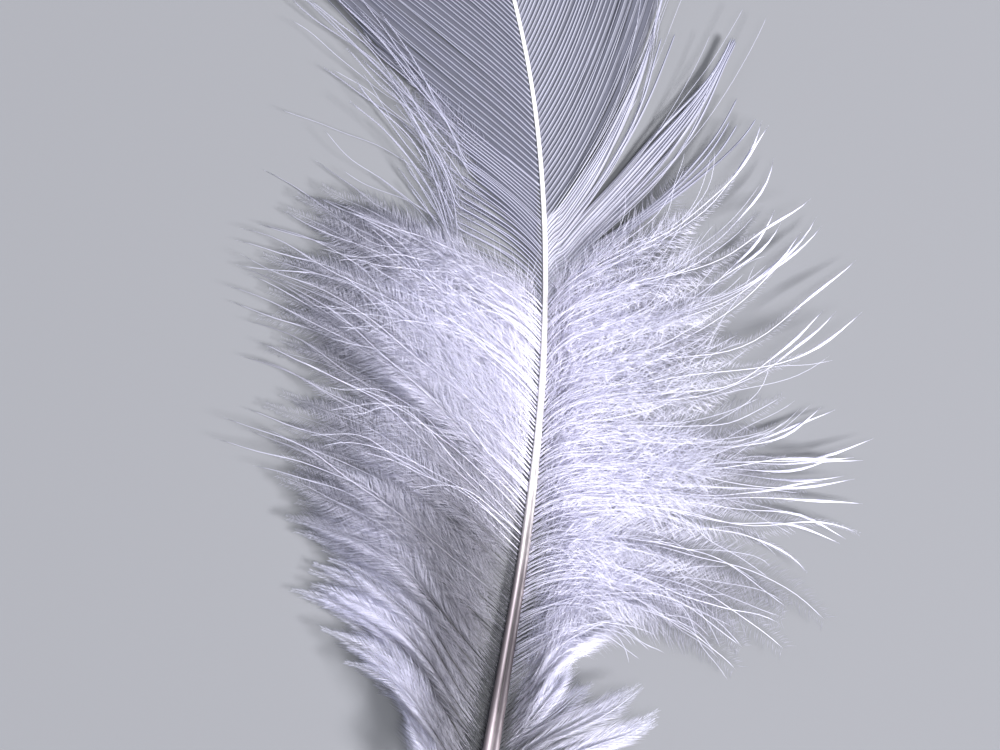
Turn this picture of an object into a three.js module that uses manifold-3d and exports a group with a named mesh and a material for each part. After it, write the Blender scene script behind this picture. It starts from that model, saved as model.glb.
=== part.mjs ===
// A white goose body feather, lying with its hollow inner face up.
// Millimetres, +Z up. +Y runs along the shaft towards the tip of the vane and +X is to the right of it.
// The origin is under the middle of the feather's length and width, on the surface that it lies on.
import * as THREE from 'three';
import { mergeVertices } from 'three/addons/utils/BufferGeometryUtils.js';
import Module from 'manifold-3d';

// Places along the shaft are stations, in millimetres from this point of it: minus towards the quill, plus
// towards the tip. Here the flat back of the shaft rests on the surface.
const stationZero = { x: -0.2, y: -10.5 };
const quillEnd = -54;
const shaftTip = 75;
const downFrom = -37.5; // the lowest barbs, just above the bare quill
const downTo = 12; // the highest loose barbs, where the closed vane begins
const leftVaneFrom = 14.4;
const rightVaneFrom = 12;
const vaneTo = 74.5;

// Shaft: [station, heading in degrees (plus leans left), width, depth].
const shaftTable = [
  [-54, -10.0, 0.60, 0.60],
  [-52, -10.0, 1.35, 1.35],
  [-47, -10.0, 1.80, 1.75],
  [-38, -10.0, 1.62, 1.60],
  [-30, -9.8, 1.32, 1.35],
  [-18, -9.5, 0.95, 1.05],
  [-5, -5.2, 0.58, 0.74],
  [7, 0.0, 0.43, 0.58],
  [18, 5.5, 0.34, 0.46],
  [30, 14.5, 0.30, 0.38],
  [50, 22.0, 0.25, 0.32],
  [75, 30.0, 0.18, 0.22],
];
const restFrom = -9; // the back of the shaft lies flat on the surface between these stations
const restTo = 22;
const quillRise = 4.2; // how far each end of the shaft curls up off the surface
const tipRise = 5.5;
const shaftStep = 2.4;
const planStep = 0.5; // the shaft's plan is added up in steps of this length
// One flank of the shaft's outline, from back to inner face: [share of the half width, share of the depth].
const flank = [[0.55, 0], [1, 0.3], [1, 0.68], [0.5, 1]];
// The groove down the inner face: its depth as a share of the shaft's, and the stations where it begins.
const groove = { depth: 0.16, from: -40.5, to: -32.5 };

// Barbs: [station, length, rake at the shaft and at a quarter, half, three quarters and all of the length].
// The rake is the angle in degrees between the barb and the shaft's own direction.
const leftBarbs = [
  [-38, 8, 50, 45, 40, 40, 45],
  [-36.5, 12, 50, 40, 30, 36, 48],
  [-35, 18, 50, 38, 34, 62, 88],
  [-33, 22, 50, 38, 46, 68, 82],
  [-26, 24.5, 50, 45, 49, 72, 83],
  [-19.6, 26.5, 58, 60, 63, 76, 83],
  [-11.6, 29.5, 48, 54, 56, 70, 82],
  [-4.4, 29, 40, 46, 52, 66, 72],
  [1, 24, 42, 52, 60, 66, 68],
  [5, 25.5, 38, 66, 70, 68, 62],
  [10, 26, 38, 52, 58, 60, 60],
  [14, 25.5, 46, 48, 46, 42, 40],
  [20, 25.5, 38, 44, 45, 43, 40],
  [30, 24, 31, 36, 37, 35, 32],
  [50, 20.5, 30, 33, 32, 29, 26],
  [66, 12, 24, 24, 22, 18, 15],
  [75, 3.5, 10, 8, 6, 4, 2],
];
const rightBarbs = [
  [-38, 12, 55, 60, 65, 70, 75],
  [-33, 16, 40, 50, 58, 60, 50],
  [-28.5, 12, 36, 32, 28, 32, 40],
  [-25, 16, 48, 40, 42, 70, 98],
  [-21, 20, 48, 60, 85, 105, 128],
  [-18, 24, 48, 75, 102, 110, 116],
  [-14.8, 26, 45, 75, 98, 105, 133],
  [-11.6, 26, 46, 80, 94, 87, 97],
  [-8.4, 27, 43, 83, 93, 75, 58],
  [-4.4, 27.5, 35, 73, 73, 57, 45],
  [-0.4, 26.5, 27, 72, 67, 52, 39],
  [3.6, 26.5, 30, 69, 71, 57, 30],
  [6.8, 27, 35, 50, 48, 35, 22],
  [10, 26, 40, 45, 38, 28, 20],
  [14, 24.5, 40, 35, 30, 25, 21],
  [30, 22, 37, 33, 28, 23, 19],
  [50, 19, 34, 30, 25, 21, 18],
  [66, 11, 26, 22, 18, 14, 12],
  [75, 3.5, 10, 8, 6, 4, 2],
];
// The loose barbs of the left side are creased part way along and turn up towards the tip.
const crease = { from: 2, to: 12.4, blend: 2, at: 0.37, over: 0.1, turn: 34 };

const leftCup = 2.0; // how far the closed vane's edges rise above the shaft
const rightCup = 1.5;
// Down: how far the upper locks arch above the shaft and how far their tips lift. A skew under 1 moves the
// top of the arch towards the shaft. Between these stations the down gives way to the cupped vane.
const down = { arch: 3.6, tipLift: 1.2, skew: 0.75, from: 3, to: 13 };

// The vane's plate: thick at each rib, thin between ribs and at the outer edge. Its root lies inside the
// shaft, and notch is how much shorter every second barb is.
const vane = {
  rows: 34, columns: 6, ridge: 0.5, hollow: 0.3, edge: 0.2, notch: 0.07, sunk: 0.2, rootHalf: 0.2,
};

// Each lock swells from its root along a sine curve that runs over this part of a half turn.
const swell = { from: 0.12, over: 0.95, power: 0.8 };
const locks = {
  perSide: 29, steps: 7, width: 2.5, rootWidth: 1.0, leastWidth: 0.12,
  thickness: 1.0, thinnest: 0.45, tipShare: 0.14,
};
const lays = [0.1, 0.9, 0.45]; // neighbouring locks take turns to lie low, high and between
const creasedWidth = 0.5; // of the creased locks, as a share of the others' width
const clearance = { step: 0.017, turns: 8, right: 0.009 }; // unequal heights of the locks off the surface

const shortestEdge = 0.03;
const leastAgreement = 0.2; // between a face's directions before and after a short edge is closed
const degrees = Math.PI / 180;

// The values of a table's row at a station, with straight lines between the rows.
function valuesAt(table, station) {
  const found = table.findIndex((row) => row[0] >= station);
  const above = found < 0 ? table.length - 1 : Math.max(found, 1);
  const low = table[above - 1];
  const high = table[above];
  const share = THREE.MathUtils.clamp((station - low[0]) / (high[0] - low[0]), 0, 1);
  return low.slice(1).map((value, i) => THREE.MathUtils.lerp(value, high[i + 1], share));
}

// A smooth step from 0 to 1.
function ease(x, from, to) {
  return THREE.MathUtils.smoothstep(x, from, to);
}

// Where the middle of the shaft's back is at a station, and which way the shaft runs there.
// The plan follows the headings, added up from station zero in short steps.
function shaftAt(station) {
  const pieces = Math.max(1, Math.ceil(Math.abs(station) / planStep));
  const step = station / pieces;
  let { x, y } = stationZero;
  for (let i = 0; i < pieces; i += 1) {
    const heading = valuesAt(shaftTable, (i + 0.5) * step)[0] * degrees;
    x -= Math.sin(heading) * step;
    y += Math.cos(heading) * step;
  }
  const [heading, width, depth] = valuesAt(shaftTable, station);
  const towardsTip = Math.max(0, (station - restTo) / (shaftTip - restTo));
  const towardsQuill = Math.max(0, (restFrom - station) / (restFrom - quillEnd));
  const back = tipRise * towardsTip ** 2 + quillRise * towardsQuill ** 2;
  return { x, y, back, direction: (90 + heading) * degrees, width, depth };
}

// The points of one barb from the shaft out. side is -1 for left and 1 for right. lay is from 0, a barb that
// lies low, to 1, one that arches high. steps is the number of pieces that the barb is drawn in.
function barbPath(side, station, lay, steps, lengthShare = 1) {
  const root = shaftAt(station);
  const [length, ...rakes] = valuesAt(side < 0 ? leftBarbs : rightBarbs, station);
  const begins = ease(station, crease.from - crease.blend, crease.from);
  const ends = ease(station, crease.to, crease.to + crease.blend);
  const creased = side < 0 ? begins * (1 - ends) : 0;
  const downy = 1 - ease(station, down.from, down.to);
  const cup = side < 0 ? leftCup : rightCup;
  const attach = root.back + 0.5 * root.depth;
  const rakeAt = (u) => {
    const place = u * (rakes.length - 1);
    const i = Math.min(Math.floor(place), rakes.length - 2);
    const turned = creased * crease.turn * ease(u, crease.at - crease.over / 2, crease.at + crease.over / 2);
    return THREE.MathUtils.lerp(rakes[i], rakes[i + 1], place - i) - turned;
  };
  const points = [];
  let x = root.x;
  let y = root.y;
  for (let i = 0; i <= steps; i += 1) {
    const u = i / steps;
    const direction = root.direction - side * rakeAt(u) * degrees;
    if (i > 0) {
      const middle = root.direction - side * rakeAt(u - 0.5 / steps) * degrees;
      x += (Math.cos(middle) * length * lengthShare) / steps;
      y += (Math.sin(middle) * length * lengthShare) / steps;
    }
    const arch = down.arch * lay * Math.sin(Math.PI * u ** down.skew) + down.tipLift * lay * u;
    const settle = (locks.thickness * locks.tipShare - attach) * u * (1 - lay);
    const z = attach + (1 - downy) * cup * u * u + downy * (arch + settle);
    points.push({ x, y, z, direction, u });
  }
  return points;
}

// A closed surface from rings of equal count, capped at both ends. Each ring runs anticlockwise, seen from
// behind.
function loft(rings) {
  const sides = rings[0].length;
  const positions = rings.flat().flatMap((p) => [p.x, p.y, p.z]);
  const index = [];
  for (let r = 0; r + 1 < rings.length; r += 1) {
    for (let i = 0; i < sides; i += 1) {
      const a = r * sides + i;
      const b = r * sides + ((i + 1) % sides);
      index.push(a, b + sides, b, a, a + sides, b + sides);
    }
  }
  const end = (rings.length - 1) * sides;
  for (let i = 1; i + 1 < sides; i += 1) {
    index.push(0, i, i + 1, end, end + i + 1, end + i);
  }
  return solidGeometry(positions, index);
}

function solidGeometry(positions, index) {
  const geometry = new THREE.BufferGeometry();
  geometry.setAttribute('position', new THREE.Float32BufferAttribute(positions, 3));
  geometry.setIndex(index);
  return geometry;
}

// One ring across a path: each outline point is [sideways to the left, up], in millimetres.
function ringAt(point, outline) {
  const { x, y, z, direction } = point;
  const acrossX = -Math.sin(direction);
  const acrossY = Math.cos(direction);
  return outline.map(([side, up]) => new THREE.Vector3(x + acrossX * side, y + acrossY * side, z + up));
}

// The shaft: a flat back, rounded flanks and a groove down its inner face, rounder on the bare quill.
function shaftGeometry() {
  const stations = [quillEnd];
  while (stations.at(-1) + shaftStep < shaftTip) stations.push(stations.at(-1) + shaftStep);
  stations.push(shaftTip);
  return loft(stations.map((station) => {
    const at = shaftAt(station);
    const sunk = groove.depth * ease(station, groove.from, groove.to) * at.depth;
    const left = flank.map(([across, up]) => [(-across * at.width) / 2, up * at.depth]);
    const right = flank.map(([across, up]) => [(across * at.width) / 2, up * at.depth]).reverse();
    const outline = [...left, [0, at.depth - sunk], ...right];
    return ringAt({ x: at.x, y: at.y, z: at.back, direction: at.direction }, outline);
  }));
}

// One side of the closed vane: a thin plate ribbed along its barbs, with every second barb a little shorter.
function vaneGeometry(side) {
  const { rows, columns, ridge, hollow, edge, notch } = vane;
  const top = [];
  const bottom = [];
  for (let r = 0; r <= rows; r += 1) {
    const station = THREE.MathUtils.lerp(side < 0 ? leftVaneFrom : rightVaneFrom, vaneTo, r / rows);
    const rib = r % 2 === 0;
    const shaft = shaftAt(station);
    const sunk = vane.sunk * side * shaft.width; // the plate starts just past the shaft's middle, inside it
    barbPath(side, station, 0, columns, rib ? 1 : 1 - notch).forEach((p, i) => {
      const full = THREE.MathUtils.lerp(rib ? ridge : hollow, edge, p.u) / 2;
      const half = i === 0 ? vane.rootHalf * shaft.depth : full;
      const x = i === 0 ? p.x - Math.sin(shaft.direction) * sunk : p.x;
      const y = i === 0 ? p.y + Math.cos(shaft.direction) * sunk : p.y;
      top.push(x, y, p.z + half);
      bottom.push(x, y, p.z - half);
    });
  }
  const count = columns + 1;
  const under = (rows + 1) * count;
  const index = [];
  const quad = (a, b, c, d) => (side < 0 ? index.push(a, c, b, a, d, c) : index.push(a, b, c, a, c, d));
  for (let r = 0; r < rows; r += 1) {
    for (let c = 0; c < columns; c += 1) {
      const a = r * count + c;
      quad(a, a + 1, a + 1 + count, a + count);
      quad(under + a, under + a + count, under + a + 1 + count, under + a + 1);
    }
    const inner = r * count;
    const outer = inner + columns;
    quad(inner, inner + count, under + inner + count, under + inner);
    quad(outer, under + outer, under + outer + count, outer + count);
  }
  for (let c = 0; c < columns; c += 1) {
    const last = rows * count + c;
    quad(c, under + c, under + c + 1, c + 1);
    quad(last, last + 1, under + last + 1, under + last);
  }
  return solidGeometry([...top, ...bottom], index);
}

// One lock: some five neighbouring barbs lying together, as a flattened horn that narrows to their tips.
function lockGeometry(side, station, lay, widthShare, above) {
  const { steps, width, rootWidth, leastWidth, thickness, thinnest, tipShare } = locks;
  return loft(barbPath(side, station, lay, steps).map((p) => {
    const swollen = Math.sin(Math.PI * Math.min(1, swell.from + swell.over * p.u)) ** swell.power;
    const taper = THREE.MathUtils.lerp(1, tipShare, p.u ** 2);
    const half = (Math.max(rootWidth * (1 - p.u), width * widthShare * swollen) * taper + leastWidth) / 2;
    const thick = (thickness * taper * THREE.MathUtils.lerp(thinnest, 1, swollen)) / 2;
    const z = Math.max(p.z, thick + above);
    return ringAt({ ...p, z }, [[0, -thick], [-half, 0], [0, thick], [half, 0]]);
  }));
}

// Where solids cross, some edges come out far too short. Each is shrunk to a point where its two ends share
// just two neighbours, so that the surface stays whole, and where no face beside it would turn over.
function closeSlivers(positions, triangles) {
  const place = (v) => new THREE.Vector3().fromArray(positions, 3 * v);
  const normal = (face) => {
    const [a, b, c] = face.map(place);
    return b.sub(a).cross(c.sub(a)).normalize();
  };
  let faces = [];
  for (let i = 0; i < triangles.length; i += 3) faces.push(triangles.slice(i, i + 3));
  let closed = 1;
  while (closed > 0) {
    closed = 0;
    const around = new Map();
    faces.forEach((face) => face.forEach((v) => around.set(v, [...(around.get(v) ?? []), face])));
    const busy = new Set();
    for (const [a, b] of faces.flatMap(([p, q, r]) => [[p, q], [q, r], [r, p]])) {
      if (place(a).distanceTo(place(b)) > shortestEdge) continue;
      const ringA = new Set(around.get(a).flat());
      const ringB = new Set(around.get(b).flat());
      const shared = [...ringA].filter((v) => v !== a && v !== b && ringB.has(v));
      if (shared.length !== 2 || [...ringA, ...ringB].some((v) => busy.has(v))) continue;
      const kept = around.get(b).filter((face) => !face.includes(a));
      const turned = kept.map((face) => face.map((v) => (v === b ? a : v)));
      if (turned.some((face, i) => normal(face).dot(normal(kept[i])) < leastAgreement)) continue;
      kept.forEach((face, i) => face.splice(0, 3, ...turned[i]));
      const gone = new Set(around.get(b).filter((face) => face.includes(a) && !kept.includes(face)));
      gone.forEach((face) => face.splice(0, 3));
      [...ringA, ...ringB].forEach((v) => busy.add(v));
      closed += 1;
    }
    faces = faces.filter((face) => face.length === 3);
  }
  return faces.flat();
}

const wasm = await Module();
wasm.setup();

function solid(geometry) {
  const merged = mergeVertices(geometry, 1e-4);
  return new wasm.Manifold(new wasm.Mesh({
    numProp: 3,
    vertProperties: merged.attributes.position.array,
    triVerts: new Uint32Array(merged.index.array),
  }));
}

// The whole feather is one growth, so its shaft, vanes and locks are joined.
function featherGeometry() {
  let whole = solid(shaftGeometry());
  for (const side of [-1, 1]) {
    whole = whole.add(solid(vaneGeometry(side)));
    for (let i = 0; i < locks.perSide; i += 1) {
      const along = i + (side < 0 ? 0 : 0.5); // the right side's locks stand between the left side's
      const station = THREE.MathUtils.lerp(downFrom, downTo, along / (locks.perSide - 0.5));
      const widthShare = side < 0 && station > crease.from ? creasedWidth : 1;
      const above = clearance.step * (i % clearance.turns) + (side < 0 ? 0 : clearance.right);
      whole = whole.add(solid(lockGeometry(side, station, lays[i % lays.length], widthShare, above)));
    }
  }
  // Where locks cross they can shut in a small hollow: only the outer skin is kept, which fills it.
  const skin = whole.decompose().sort((a, b) => b.volume() - a.volume())[0];
  const { vertProperties, triVerts } = skin.getMesh();
  const triangles = closeSlivers(vertProperties, Array.from(triVerts));
  const geometry = solidGeometry(Array.from(vertProperties), triangles);
  geometry.computeVertexNormals();
  return geometry;
}

const keratin = new THREE.MeshStandardMaterial({ color: 0xe8e5f0, roughness: 0.6, metalness: 0 });
const feather = new THREE.Mesh(featherGeometry(), keratin);
feather.name = 'feather';

const group = new THREE.Group();
group.add(feather);

export default group;
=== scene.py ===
import bpy
import numpy as np
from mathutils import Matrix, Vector


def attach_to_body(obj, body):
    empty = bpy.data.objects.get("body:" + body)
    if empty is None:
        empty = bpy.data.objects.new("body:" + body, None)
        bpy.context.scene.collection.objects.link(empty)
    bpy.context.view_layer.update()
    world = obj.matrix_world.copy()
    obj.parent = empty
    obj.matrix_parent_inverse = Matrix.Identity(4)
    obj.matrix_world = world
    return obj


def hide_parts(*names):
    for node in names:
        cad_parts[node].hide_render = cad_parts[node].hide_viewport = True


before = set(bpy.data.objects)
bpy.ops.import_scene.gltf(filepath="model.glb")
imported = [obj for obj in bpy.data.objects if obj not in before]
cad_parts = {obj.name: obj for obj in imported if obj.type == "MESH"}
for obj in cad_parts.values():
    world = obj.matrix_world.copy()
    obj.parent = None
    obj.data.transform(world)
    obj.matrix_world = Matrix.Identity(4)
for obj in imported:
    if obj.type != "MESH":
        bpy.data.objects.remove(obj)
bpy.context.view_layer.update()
mm = 0.001
rng = np.random.default_rng(7)


# The feather's own lines. Stations are millimetres along the shaft, minus towards the quill.
featherPlan = {
    "stationZero": (-0.2, -10.5),
    "quillEnd": -54.0,
    "downFrom": -37.5,
    "vaneFrom": (14.4, 12.0),
    "vaneTo": 74.6,
    "restFrom": -9.0,
    "restTo": 22.0,
    "quillRise": 4.2,
    "tipRise": 5.5,
    "shaftTip": 75.0,
    "cup": (2.0, 1.5),
    "besideShaft": 0.42,
    "step": 0.25,
}

# station, heading in degrees, width, depth
shaftTable = np.array([
    (-54, -10.0, 0.60, 0.60),
    (-52, -10.0, 1.35, 1.35),
    (-47, -10.0, 1.80, 1.75),
    (-38, -10.0, 1.62, 1.60),
    (-30, -9.8, 1.32, 1.35),
    (-18, -9.5, 0.95, 1.05),
    (-5, -5.2, 0.58, 0.74),
    (7, 0.0, 0.43, 0.58),
    (18, 5.5, 0.34, 0.46),
    (30, 14.5, 0.30, 0.38),
    (50, 22.0, 0.25, 0.32),
    (75, 30.0, 0.18, 0.22),
])

# station, length, rake at the shaft and at a quarter, half, three quarters and all of the length
leftBarbs = np.array([
    (-38, 8, 50, 45, 40, 40, 45),
    (-36.5, 12, 50, 40, 30, 36, 48),
    (-35, 18, 50, 38, 34, 62, 88),
    (-33, 22, 50, 38, 46, 68, 82),
    (-26, 24.5, 50, 45, 49, 72, 83),
    (-19.6, 26.5, 58, 60, 63, 76, 83),
    (-11.6, 29.5, 48, 54, 56, 70, 82),
    (-4.4, 29, 44, 54, 61, 69, 74),
    (1, 26, 42, 53, 61, 66, 68),
    (5, 21.5, 38, 66, 70, 70, 68),
    (10, 26, 38, 52, 58, 60, 60),
    (14, 25.5, 46, 48, 46, 42, 40),
    (20, 25.5, 38, 44, 45, 43, 40),
    (30, 24, 31, 36, 37, 35, 32),
    (50, 20.5, 30, 33, 32, 29, 26),
    (66, 12, 24, 24, 22, 18, 15),
    (75, 3.5, 10, 8, 6, 4, 2),
])
rightBarbs = np.array([
    (-38, 12, 55, 60, 65, 70, 75),
    (-33, 16, 40, 50, 58, 60, 50),
    (-31.2, 9.5, 37, 40, 42, 44, 46),
    (-28.5, 10.5, 36, 32, 28, 32, 40),
    (-25, 16, 48, 40, 42, 70, 98),
    (-21, 20, 48, 60, 85, 105, 128),
    (-18, 24, 48, 75, 102, 110, 116),
    (-14.8, 26, 45, 75, 98, 105, 133),
    (-11.6, 26, 46, 80, 94, 87, 97),
    (-8.4, 27, 43, 83, 93, 75, 58),
    (-4.4, 27.5, 35, 73, 73, 57, 45),
    (-0.4, 25.5, 27, 72, 67, 52, 39),
    (3.6, 24.5, 30, 69, 71, 57, 34),
    (6.8, 27, 35, 47, 45, 39, 26),
    (10, 26, 39, 37, 28, 20, 14),
    (14, 24.5, 40, 29, 24, 20, 16),
    (30, 22, 37, 33, 28, 23, 19),
    (50, 19, 34, 30, 25, 21, 18),
    (66, 11, 26, 22, 18, 14, 12),
    (75, 3.5, 10, 8, 6, 4, 2),
])
barbTables = {-1: leftBarbs, 1: rightBarbs}


def ease(x, low, high):  # smooth step from 0 to 1
    t = np.clip((x - low) / (high - low), 0, 1)
    return t * t * (3 - 2 * t)


def blend(low, high, share):  # a straight line from low to high
    return low + (high - low) * share


def bell(x, middle, spread):  # a bell curve that is 1 in the middle
    return np.exp(-((x - middle) / spread) ** 2)


def fromTable(table, station):  # straight lines between the rows, one column after another
    return np.stack([np.interp(station, table[:, 0], table[:, c]) for c in range(1, table.shape[1])], -1)


def shaftAt(station):
    # the plan is the heading's direction added up in short steps from station zero; the back rises with the
    # square of the way towards each end
    plan = featherPlan
    step = plan["step"]
    fine = np.arange(plan["quillEnd"], plan["shaftTip"] + 0.01, step)
    heading = np.radians(fromTable(shaftTable, fine + step / 2)[:, 0])
    x = np.concatenate([[0], np.cumsum(-np.sin(heading) * step)[:-1]])
    y = np.concatenate([[0], np.cumsum(np.cos(heading) * step)[:-1]])
    zero = np.array([np.interp(0, fine, x), np.interp(0, fine, y)])
    values = fromTable(shaftTable, station)
    up = np.maximum(0, (station - plan["restTo"]) / (plan["shaftTip"] - plan["restTo"]))
    down = np.maximum(0, (plan["restFrom"] - station) / (plan["restFrom"] - plan["quillEnd"]))
    return {
        "x": np.interp(station, fine, x) - zero[0] + plan["stationZero"][0],
        "y": np.interp(station, fine, y) - zero[1] + plan["stationZero"][1],
        "back": plan["tipRise"] * up ** 2 + plan["quillRise"] * down ** 2,
        "direction": np.radians(90 + values[..., 0]),
        "width": values[..., 1],
        "depth": values[..., 2],
    }


waveLook = {"number": (0.7, 2.3), "second": (0.6, 2.1), "sets": (0.05, 0.9)}


def wander(count, steps, size):
    # each row is two sine waves of its own along the barb, the second weaker and shorter, both stronger
    # towards the tip
    u = np.linspace(0, 1, steps)
    total = np.zeros((count, steps))
    for share, faster in ((1.0, 1.0), waveLook["second"]):
        wave = rng.uniform(*waveLook["number"], (count, 1)) * faster
        phase = rng.uniform(0, 2 * np.pi, (count, 1))
        total += share * np.sin(2 * np.pi * wave * u + phase)
    return total * size * ease(u, *waveLook["sets"])


def barbPaths(side, station, steps, length, turn, rise, rootShift=0.0):
    # each barb starts on the shaft, rootShift widths beside its middle, and runs at the rake that the table
    # gives, turned by turn degrees: its direction is added up in equal steps; rise is the height above its
    # root in millimetres
    root = shaftAt(station)
    rows = fromTable(barbTables[side], station)
    rakes = rows[:, 1:]
    place = np.linspace(0, 1, steps) * 4
    low = np.minimum(place.astype(int), 3)
    rake = rakes[:, low] * (1 - (place - low)) + rakes[:, low + 1] * (place - low)
    direction = root["direction"][:, None] - side * np.radians(rake + turn)
    span = (rows[:, 0] * length)[:, None] / (steps - 1)
    middle = (direction[:, 1:] + direction[:, :-1]) / 2
    start = np.zeros((len(station), 1))
    x = np.concatenate([start, np.cumsum(np.cos(middle) * span, 1)], 1)
    y = np.concatenate([start, np.cumsum(np.sin(middle) * span, 1)], 1)
    across = root["direction"] + side * -np.pi / 2
    x += (root["x"] + np.cos(across) * rootShift * root["width"])[:, None]
    y += (root["y"] + np.sin(across) * rootShift * root["width"])[:, None]
    z = (root["back"] + 0.5 * root["depth"])[:, None] + rise
    return np.stack([x, y, np.broadcast_to(z, x.shape)], -1)


def unit(v):  # each vector over its own length
    return v / np.maximum(np.linalg.norm(v, axis=-1, keepdims=True), 1e-9)


def framesAlong(path):
    # forward, sideways to the left and up at each point of each path
    forward = unit(np.gradient(path, axis=1))
    left = unit(np.cross(np.array([0, 0, 1.0]), forward))
    return forward, left, np.cross(forward, left)


def carried(path, outline):
    # a closed outline carried along each path, clockwise seen from ahead: outline is
    # [paths, points, corners, 2] as left and up in millimetres; the last ring is one point, so the piece is
    # closed by a tip, and a flat face closes its root
    left, up = framesAlong(path)[1:]
    rings = path[:, :-1, None] + left[:, :-1, None] * outline[..., :1]
    rings = rings + up[:, :-1, None] * outline[..., 1:]
    count, ringCount, corners = rings.shape[:3]
    points = np.concatenate([rings.reshape(count, -1, 3), path[:, -1:]], 1)
    each = ringCount * corners + 1
    i = np.arange(corners)
    j = (i + 1) % corners
    r = (np.arange(ringCount - 1) * corners)[:, None]
    quads = np.stack([r + j, r + i, r + corners + i, r + corners + j], -1).reshape(-1, 4)
    end = (ringCount - 1) * corners
    tips = np.stack([end + j, end + i, np.full(corners, each - 1)], -1)
    root = i[None]
    shift = (np.arange(count) * each)[:, None, None]
    faces = [(f[None] + shift).reshape(-1, f.shape[1]) for f in (quads, tips, root)]
    return points.reshape(-1, 3), faces, each


def alongRings(u, corners, count):
    # the way along its barb for each corner of each ring and for the tip, the same for each of count barbs
    return np.tile(np.concatenate([np.repeat(u[:-1], corners), [1]]), count)


def roundOutline(radius, corners, flat=1.0):
    # a ring of corners at the radius, clockwise seen from ahead, flattened by flat
    a = 2 * np.pi * (np.arange(corners) + 0.5) / corners
    return radius[..., None, None] * np.stack([-np.cos(a), flat * np.sin(a)], -1)


class Strands:
    # gathers points, faces and the two numbers that the material reads: along a barb, and its tone, which on
    # the down and the shaft also carries painted light and shade
    def __init__(self):
        self.points, self.faces, self.along, self.tone, self.count = [], [], [], [], 0

    def add(self, points, faces, along, tone):
        self.points.append(points)
        self.faces += [f + self.count for f in faces]
        self.along.append(along)
        self.tone.append(tone)
        self.count += len(points)


def makePiece(name, strands, material, smooth=True):
    # one mesh of all the strands, in metres, with the two numbers at each of its points
    points = np.concatenate(strands.points) * mm
    mesh = bpy.data.meshes.new(name)
    mesh.vertices.add(len(points))
    mesh.vertices.foreach_set("co", points.astype(np.float32).ravel())
    loops = np.concatenate([f.ravel() for f in strands.faces])
    sizes = np.concatenate([np.full(len(f), f.shape[1]) for f in strands.faces])
    mesh.loops.add(len(loops))
    mesh.loops.foreach_set("vertex_index", loops.astype(np.int32))
    mesh.polygons.add(len(sizes))
    starts = np.concatenate([[0], np.cumsum(sizes)[:-1]])
    mesh.polygons.foreach_set("loop_start", starts.astype(np.int32))
    mesh.polygons.foreach_set("use_smooth", np.full(len(sizes), smooth))
    for label, values in (("along", strands.along), ("tone", strands.tone)):
        mesh.attributes.new(label, "FLOAT", "POINT").data.foreach_set(
            "value", np.concatenate(values).astype(np.float32))
    mesh.update(calc_edges=True)
    mesh.validate()
    mesh.materials.append(material)
    piece = bpy.data.objects.new(name, mesh)
    bpy.context.scene.collection.objects.link(piece)
    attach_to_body(piece, "root")
    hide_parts("feather")
    print(name, "has", int((sizes - 2).sum()), "triangles")


# Materials: a soft white keratin whose tone changes from barb to barb and along each barb; painted light and
# shade also lie in the tone of the down and the shaft, and in the darker colours of the vane, the right loose
# strands and the webs.
def toneGroup():
    # the colour between root and tip, times 1 plus the tone less a half by the variation, plus the noise less
    # a half by the mottle
    group = bpy.data.node_groups.new("barbTone", "ShaderNodeTree")
    face = group.interface
    for socket, kind in (("Root Color", "NodeSocketColor"), ("Tip Color", "NodeSocketColor"),
                         ("Variation", "NodeSocketFloat"), ("Mottle", "NodeSocketFloat")):
        face.new_socket(socket, in_out="INPUT", socket_type=kind)
    face.new_socket("Color", in_out="OUTPUT", socket_type="NodeSocketColor")
    nodes, links = group.nodes, group.links
    inlet, outlet = nodes.new("NodeGroupInput"), nodes.new("NodeGroupOutput")
    along, tone = nodes.new("ShaderNodeAttribute"), nodes.new("ShaderNodeAttribute")
    along.attribute_name, tone.attribute_name = "along", "tone"
    mix = nodes.new("ShaderNodeMix")
    mix.data_type = "RGBA"
    links.new(along.outputs["Fac"], mix.inputs["Factor"])
    links.new(inlet.outputs["Root Color"], mix.inputs["A"])
    links.new(inlet.outputs["Tip Color"], mix.inputs["B"])
    place = nodes.new("ShaderNodeTexCoord")
    noise = nodes.new("ShaderNodeTexNoise")
    noise.inputs["Scale"].default_value = 900.0
    noise.inputs["Detail"].default_value = 3.0
    links.new(place.outputs["Object"], noise.inputs["Vector"])

    def mathNode(operation, *values):  # its inputs are numbers or what other nodes put out
        node = nodes.new("ShaderNodeMath")
        node.operation = operation
        for socket, value in zip(node.inputs, values):
            if isinstance(value, float):
                socket.default_value = value
            else:
                links.new(value, socket)
        return node.outputs[0]

    centred = mathNode("SUBTRACT", tone.outputs["Fac"], 0.5)
    span = mathNode("MULTIPLY_ADD", centred, inlet.outputs["Variation"], 1.0)
    grain = mathNode("SUBTRACT", noise.outputs["Fac"], 0.5)
    whole = mathNode("MULTIPLY_ADD", grain, inlet.outputs["Mottle"], span)
    scale = nodes.new("ShaderNodeVectorMath")
    scale.operation = "SCALE"
    links.new(mix.outputs["Result"], scale.inputs[0])
    links.new(whole, scale.inputs["Scale"])
    links.new(scale.outputs[0], outlet.inputs["Color"])
    return group


barbTone = toneGroup()


def keratin(name, rootColor, tipColor, variation, mottle, roughness):
    # the tone group gives the colour; what is the same all over is set on the shader
    material = bpy.data.materials.new(name)
    material.use_nodes = True
    nodes, links = material.node_tree.nodes, material.node_tree.links
    shader = nodes["Principled BSDF"]
    tone = nodes.new("ShaderNodeGroup")
    tone.node_tree = barbTone
    tone.inputs["Root Color"].default_value = (*rootColor, 1)
    tone.inputs["Tip Color"].default_value = (*tipColor, 1)
    tone.inputs["Variation"].default_value = variation
    tone.inputs["Mottle"].default_value = mottle
    links.new(tone.outputs["Color"], shader.inputs["Base Color"])
    shader.inputs["Roughness"].default_value = roughness
    return material
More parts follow.
